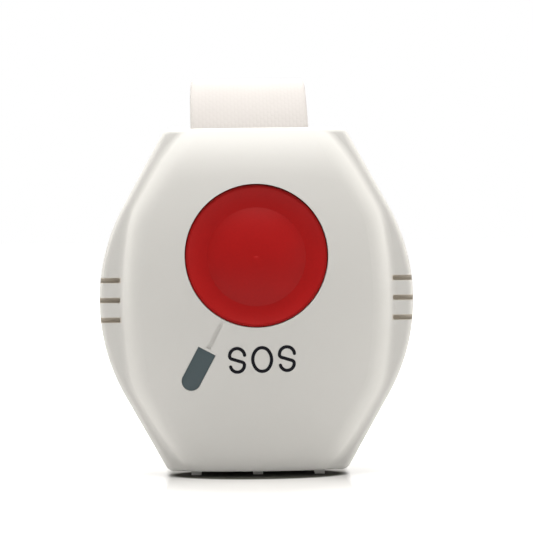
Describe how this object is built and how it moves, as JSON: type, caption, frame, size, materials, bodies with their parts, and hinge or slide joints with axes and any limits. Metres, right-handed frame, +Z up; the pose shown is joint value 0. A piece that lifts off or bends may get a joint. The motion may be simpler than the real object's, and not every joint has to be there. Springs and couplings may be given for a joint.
{
  "type": "wireless panic button",
  "caption": "Wrist-worn wireless panic button: barrel-shaped white case with a round red push button, a small status lamp window, side grip slots and a woven wrist band closed by a ring.",
  "frame": {"origin": "on the case's flat foot, at mid width, in the plane where the two covers meet", "axes": "+Z up, +X to the right seen from the front, +Y from the pressed face to the back"},
  "size_m": [0.05, 0.068, 0.0654],
  "materials": {
    "white_plastic": "fine satin moulded plastic, warm white",
    "red_plastic": "deep red satin moulded plastic",
    "smoke_plastic": "smoke grey polished window",
    "board_green": "green solder mask",
    "steel_screw": "zinc plated screw",
    "black_plastic": "black moulded plastic",
    "bright_steel": "tinned spring steel",
    "lamp_resin": "clear lamp resin",
    "chip_ceramic": "ceramic chip parts with tinned ends",
    "copper_wire": "tinned copper wire",
    "cell_steel": "nickel plated cell can",
    "white_webbing": "soft white woven band",
    "white_ring": "white moulded ring",
    "hook_tape": "white hook tape"
  },
  "bodies": {
    "housing": {"front_cover": "white_plastic", "rear_cover": "white_plastic", "cover_screws": "steel_screw", "led_window": "smoke_plastic", "circuit_board": "board_green", "board_screws": "steel_screw", "switch_body": "black_plastic", "switch_frame": "bright_steel", "status_led": "lamp_resin", "encoder_chip": "black_plastic", "saw_resonator": "bright_steel", "rf_transistor": "black_plastic", "chip_resistors": "chip_ceramic", "chip_capacitors": "chip_ceramic", "aerial_wire": "copper_wire", "cell_contact": "bright_steel", "cell_holder": "black_plastic", "coin_cell": "cell_steel", "cell_clip": "bright_steel", "strap_band": "white_webbing", "strap_ring": "white_ring", "hook_patch": "hook_tape"},
    "button": {"panic_button": "red_plastic"},
    "plunger": {"switch_plunger": "black_plastic"}
  },
  "joints": [
    {"name": "button_press", "type": "slide", "parent": "housing", "child": "button", "axis": [0, 1, 0], "range_m": [0, 0.0005], "stiffness_N_per_m": 3000},
    {"name": "plunger_press", "type": "slide", "parent": "housing", "child": "plunger", "axis": [0, 1, 0], "range_m": [0, 0.0005]}
  ],
  "couplings": [
    {"joint": "plunger_press", "follows": "button_press", "ratio": 1}
  ]
}
